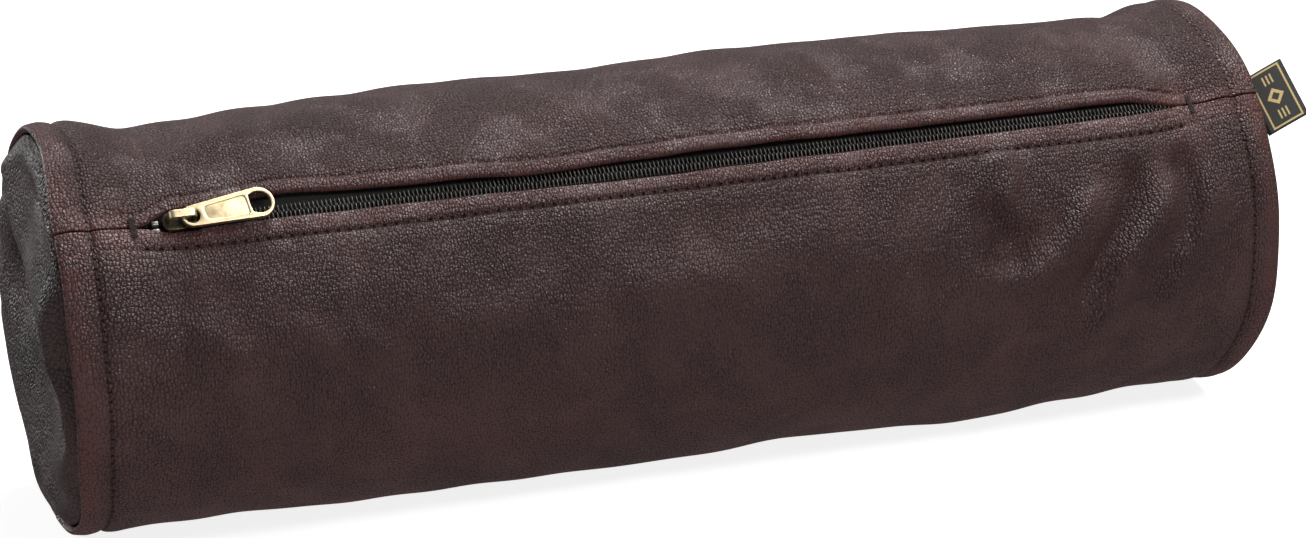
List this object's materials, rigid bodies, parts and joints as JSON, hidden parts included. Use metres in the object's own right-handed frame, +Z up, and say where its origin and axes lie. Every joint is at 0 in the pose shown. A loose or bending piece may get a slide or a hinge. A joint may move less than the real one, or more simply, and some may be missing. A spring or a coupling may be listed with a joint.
{
  "type": "zipped barrel case",
  "caption": "Round soft leather case with a lengthwise zip, a sliding zip puller and two flaps that part to open the barrel.",
  "frame": {"origin": "on the floor under the middle of the barrel, in the flat strip that the barrel's underside rests on", "axes": "+X along the barrel towards the end with the label, -Y to the front where the zip is, +Z up"},
  "size_m": [0.4159, 0.1299, 0.1295],
  "materials": {
    "barrel_hide": "soft pebbled nappa, satin, dark brown, burnished red-brown at the rims, lips and edges",
    "end_hide": "soft pebbled nappa, satin, dark grey-brown",
    "foam": "matte closed-cell foam",
    "lining": "matte black plain weave",
    "zip_tape": "black twill tape",
    "zip_coil": "black nylon coil, slightly glossy",
    "brass": "pale antique brass, softly polished",
    "stop_metal": "plated, slightly dull",
    "thread": "brown bonded thread",
    "label": null
  },
  "bodies": {
    "case_body": {"barrel_hide": "barrel_hide", "barrel_foam": "foam", "barrel_lining": "lining", "left_end_disc": "end_hide", "right_end_disc": "end_hide", "left_end_lining": "lining", "right_end_lining": "lining", "left_rim_thread": "thread", "right_rim_thread": "thread", "left_bar_tack": "thread", "right_bar_tack": "thread", "bottom_stop": "stop_metal"},
    "upper_flap": {"upper_flap_hide": "barrel_hide", "upper_flap_foam": "foam", "upper_flap_lining": "lining", "upper_lip_thread": "thread", "upper_zip_tape": "zip_tape", "upper_zip_coil": "zip_coil", "upper_top_stop": "stop_metal"},
    "lower_flap": {"lower_flap_hide": "barrel_hide", "lower_flap_foam": "foam", "lower_flap_lining": "lining", "lower_lip_thread": "thread", "lower_zip_tape": "zip_tape", "lower_zip_coil": "zip_coil", "lower_top_stop": "stop_metal"},
    "slider": {"slider_body": "brass", "slider_crown": "brass"},
    "puller": {"zip_puller": "brass"},
    "label": {"rim_label": "label"}
  },
  "joints": [
    {"name": "zip_slide", "type": "slide", "parent": "case_body", "child": "slider", "axis": [1, 0, 0], "range_m": [0, 0.33]},
    {"name": "puller_swing", "type": "hinge", "parent": "slider", "child": "puller", "pos_m": [-0.16635, -0.04595, 0.11395], "axis": [0.0993, -0.7289, -0.6774], "range_deg": [0, 165]},
    {"name": "upper_flap_open", "type": "hinge", "parent": "case_body", "child": "upper_flap", "pos_m": [0, 0.05458, 0.09981], "axis": [-1, 0, 0], "range_deg": [0, 24.5], "deforming": ["upper_zip_tape", "upper_zip_coil"]},
    {"name": "lower_flap_open", "type": "hinge", "parent": "case_body", "child": "lower_flap", "pos_m": [0, -0.03921, 0.01266], "axis": [1, 0, 0], "range_deg": [0, 16.5], "deforming": ["lower_zip_tape", "lower_zip_coil"]},
    {"name": "label_flex", "type": "hinge", "parent": "case_body", "child": "label", "pos_m": [0.2008, -0.04275, 0.1105], "axis": [0, 0.7325, 0.6807], "range_deg": [-40, 40], "stiffness_Nm_per_rad": 0.0005}
  ],
  "couplings": [
    {"joint": "upper_flap_open", "follows": "zip_slide", "rad_per_m": 1.27},
    {"joint": "lower_flap_open", "follows": "zip_slide", "rad_per_m": 0.84}
  ]
}
